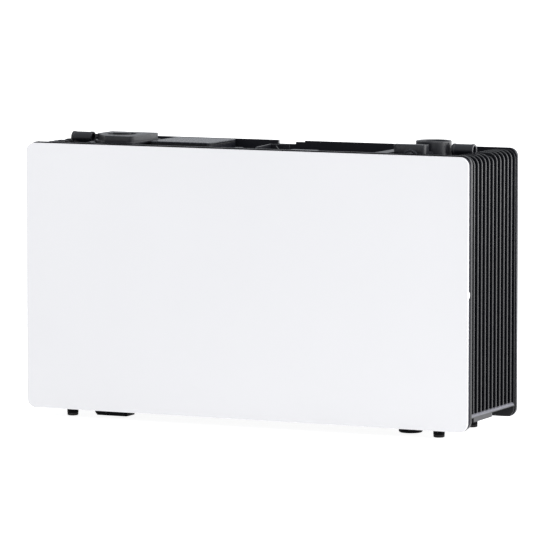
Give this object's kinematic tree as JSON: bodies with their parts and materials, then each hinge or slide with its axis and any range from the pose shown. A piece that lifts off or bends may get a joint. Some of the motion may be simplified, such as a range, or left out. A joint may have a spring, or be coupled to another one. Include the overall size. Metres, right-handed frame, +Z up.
{
  "type": "wall battery unit",
  "caption": "Landscape wall battery with a flat white front panel, finned dark sides and a top bay with an isolator, wiring box, conduit hub and lifting sleeves.",
  "frame": {"origin": "on the ground, under the middle of the unit, where its four feet stand", "axes": "+X from left to right seen from the front, -Y out of the front panel, +Z up"},
  "size_m": [1.06, 0.285, 0.633],
  "materials": {
    "panel_white": "satin white, fine and even",
    "bezel_dark": "dark powder coat on die-cast aluminium",
    "cast_dark": "dark powder coat on cast aluminium",
    "bar_grey": "grey anodised extrusion",
    "plate_dark": "dark powder coat on sheet",
    "plastic_dark": "fine moulded texture",
    "knob_dark": "fine moulded texture",
    "switch_grey": "moulded",
    "rubber_black": "black rubber",
    "zinc_steel": "zinc plated",
    "stud_white": "moulded",
    "bare_aluminium": "mill finish",
    "cell_case": "blue film over a drawn can",
    "busbar_metal": "copper, bright",
    "board_green": "solder mask",
    "winding": "enamelled winding",
    "capacitor_sleeve": "shrink sleeve"
  },
  "bodies": {
    "housing": {"front_cover": "bezel_dark", "cover_gasket": "rubber_black", "cover_screws": "zinc_steel", "housing_tub": "cast_dark", "rear_rails": "cast_dark", "rear_plate": "plate_dark", "plate_bolts": "zinc_steel", "heatsink_right": "cast_dark", "heatsink_left": "cast_dark", "heatsink_screws": "zinc_steel", "ledge_bar_right": "bar_grey", "ledge_bar_left": "bar_grey", "base_tray": "plate_dark", "feet": "plastic_dark", "foot_pads": "rubber_black", "outlet_box": "plastic_dark", "vent_pod": "plastic_dark", "lifting_sleeve_right": "cast_dark", "lifting_sleeve_left": "cast_dark", "isolator_housing": "cast_dark", "isolator_cover": "plastic_dark", "isolator_switch": "switch_grey", "shaft_seal": "rubber_black", "cable_eye": "plastic_dark", "wiring_box": "plastic_dark", "wiring_seal": "rubber_black", "terminal_block": "switch_grey", "conduit_housing": "cast_dark", "conduit_hub": "cast_dark", "conduit_locknut": "zinc_steel", "gland_ring": "plastic_dark", "gland_sleeve": "plastic_dark", "vent_plug": "plastic_dark", "hanger_bracket": "cast_dark", "port_box": "plastic_dark", "module_tray_lower": "bare_aluminium", "module_tray_upper": "bare_aluminium", "cells_lower": "cell_case", "cells_upper": "cell_case", "end_plates": "bare_aluminium", "tie_rods": "zinc_steel", "busbars": "busbar_metal", "module_posts": "zinc_steel", "mounting_plate": "bare_aluminium", "contactor": "switch_grey", "main_fuse": "switch_grey", "control_board": "board_green", "power_board": "board_green", "chokes": "winding", "capacitors": "capacitor_sleeve", "series_link": "busbar_metal", "pack_leads": "busbar_metal", "panel_sockets": "rubber_black"},
    "panel": {"front_panel": "panel_white", "panel_studs": "stud_white"},
    "dial": {"isolator_knob": "knob_dark", "isolator_shaft": "zinc_steel"},
    "wiring_cover": {"wiring_lid": "plastic_dark", "lid_screws": "zinc_steel"},
    "port_cap": {"port_cover": "plastic_dark"}
  },
  "joints": [
    {"name": "panel_pull", "type": "slide", "parent": "housing", "child": "panel", "axis": [0, -1, 0], "range_m": [0, 0.15]},
    {"name": "dial_turn", "type": "hinge", "parent": "housing", "child": "dial", "pos_m": [-0.358, -0.0105, 0.62], "axis": [0, 0, -1], "range_deg": [0, 90]},
    {"name": "wiring_lid_lift", "type": "slide", "parent": "housing", "child": "wiring_cover", "axis": [0, 0, 1], "range_m": [0, 0.12]},
    {"name": "port_cover_lift", "type": "slide", "parent": "housing", "child": "port_cap", "axis": [0, 0, 1], "range_m": [0, 0.08]}
  ]
}
